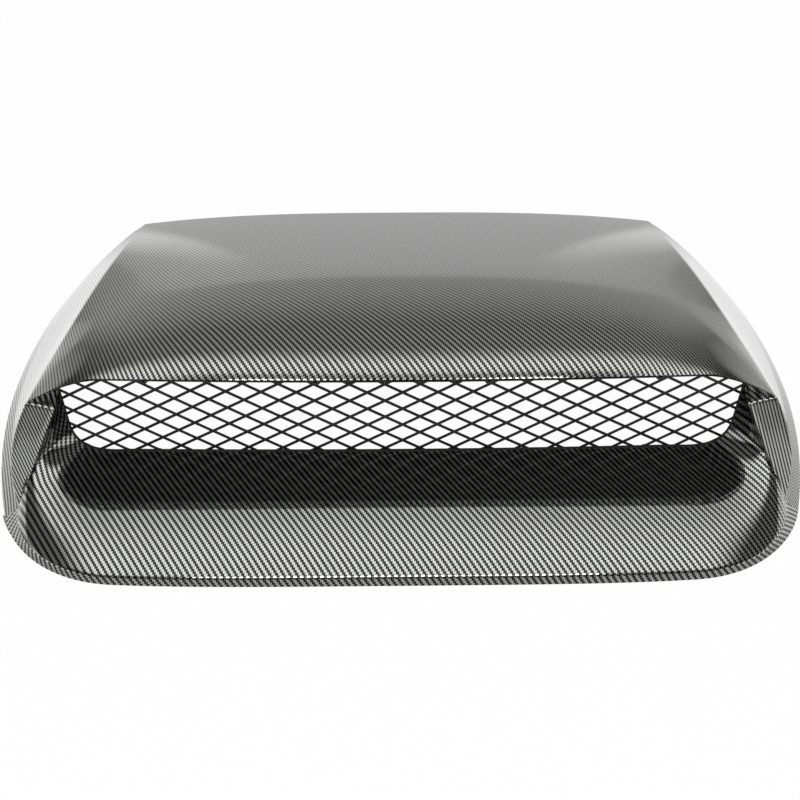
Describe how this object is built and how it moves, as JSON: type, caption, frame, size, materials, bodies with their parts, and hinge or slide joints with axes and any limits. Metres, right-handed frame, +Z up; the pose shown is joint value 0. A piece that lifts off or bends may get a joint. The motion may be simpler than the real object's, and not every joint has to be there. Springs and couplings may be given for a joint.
{
  "type": "bonnet scoop",
  "caption": "Wide bonnet scoop: one moulded carbon-look shell with a ducted mouth, a black diamond mesh screwed behind it and foam tape under its base flange.",
  "frame": {"origin": "middle of the base's bounding box, on the face that it stands on", "axes": "+X across the car to the right as seen from the mouth, +Y from the mouth to the rear, +Z up"},
  "size_m": [0.74, 0.567, 0.1344],
  "materials": {
    "shell": "gloss clear coat over printed twill",
    "mesh": "satin black",
    "screw": "black zinc",
    "tape": "closed-cell foam",
    "liner": "satin film"
  },
  "bodies": {
    "root": {"scoop_shell": "shell", "mesh_grille": "mesh", "grille_screw_1": "screw", "grille_screw_2": "screw", "grille_screw_3": "screw", "grille_screw_4": "screw", "grille_screw_5": "screw", "grille_screw_6": "screw", "grille_screw_7": "screw", "grille_screw_8": "screw", "tape_front": "tape", "tape_rear": "tape", "tape_left": "tape", "tape_right": "tape", "liner_front": "liner", "liner_rear": "liner", "liner_left": "liner", "liner_right": "liner"}
  },
  "joints": []
}
